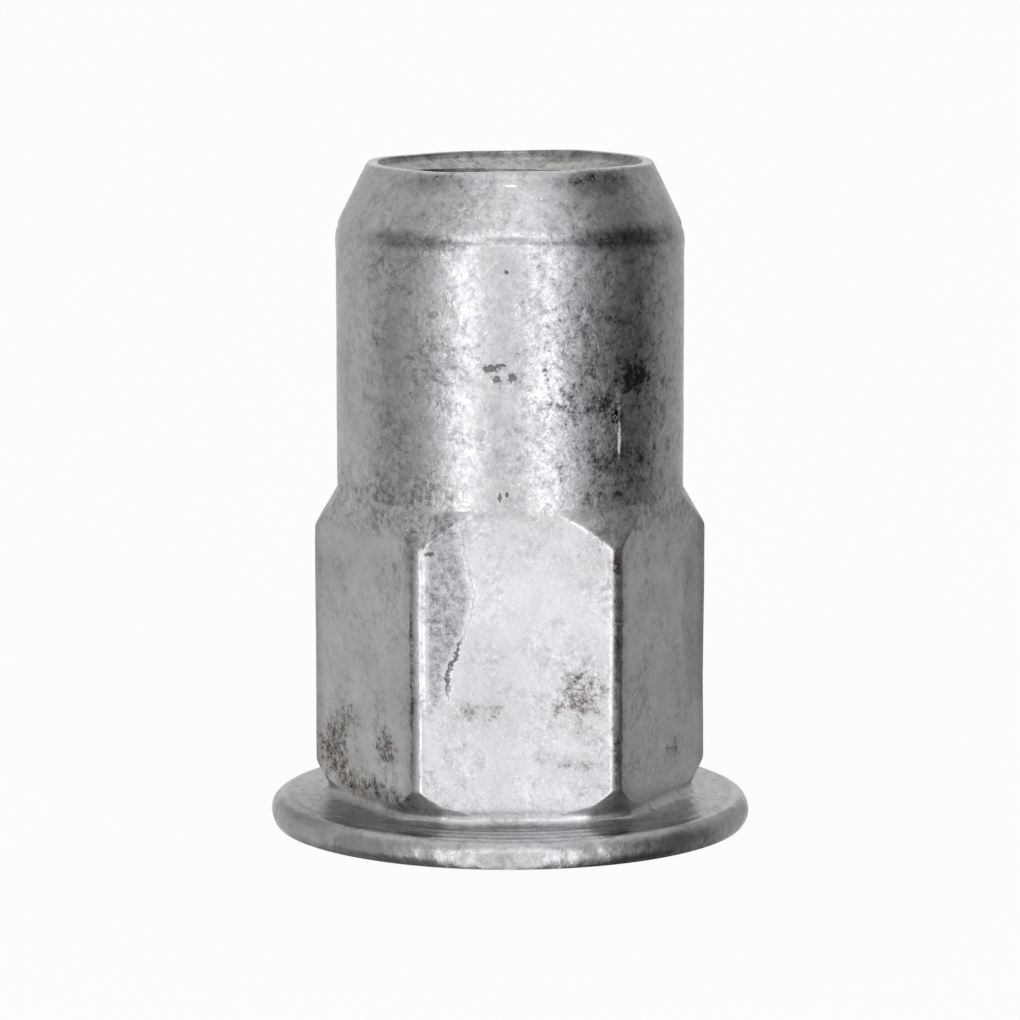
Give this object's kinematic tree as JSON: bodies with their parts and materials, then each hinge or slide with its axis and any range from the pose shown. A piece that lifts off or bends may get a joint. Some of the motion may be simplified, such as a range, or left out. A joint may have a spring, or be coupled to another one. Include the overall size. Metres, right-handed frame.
{
  "type": "rivet nut",
  "caption": "Blind rivet nut: thin round head, six-sided lower body, round tapered nose, threaded through bore.",
  "frame": {"origin": "centre of the head's outer face, on the axis of the bore; the nut stands on that face", "axes": "+Z along the bore's axis, from the head to the open threaded nose; two flats of the hexagon face -Y and +Y"},
  "size_m": [0.0152, 0.0152, 0.0211],
  "materials": {
    "plated_steel": "dull zinc plating, mottled and scuffed, with small dark stains"
  },
  "bodies": {
    "root": {"rivet_nut": "plated_steel"}
  },
  "joints": []
}
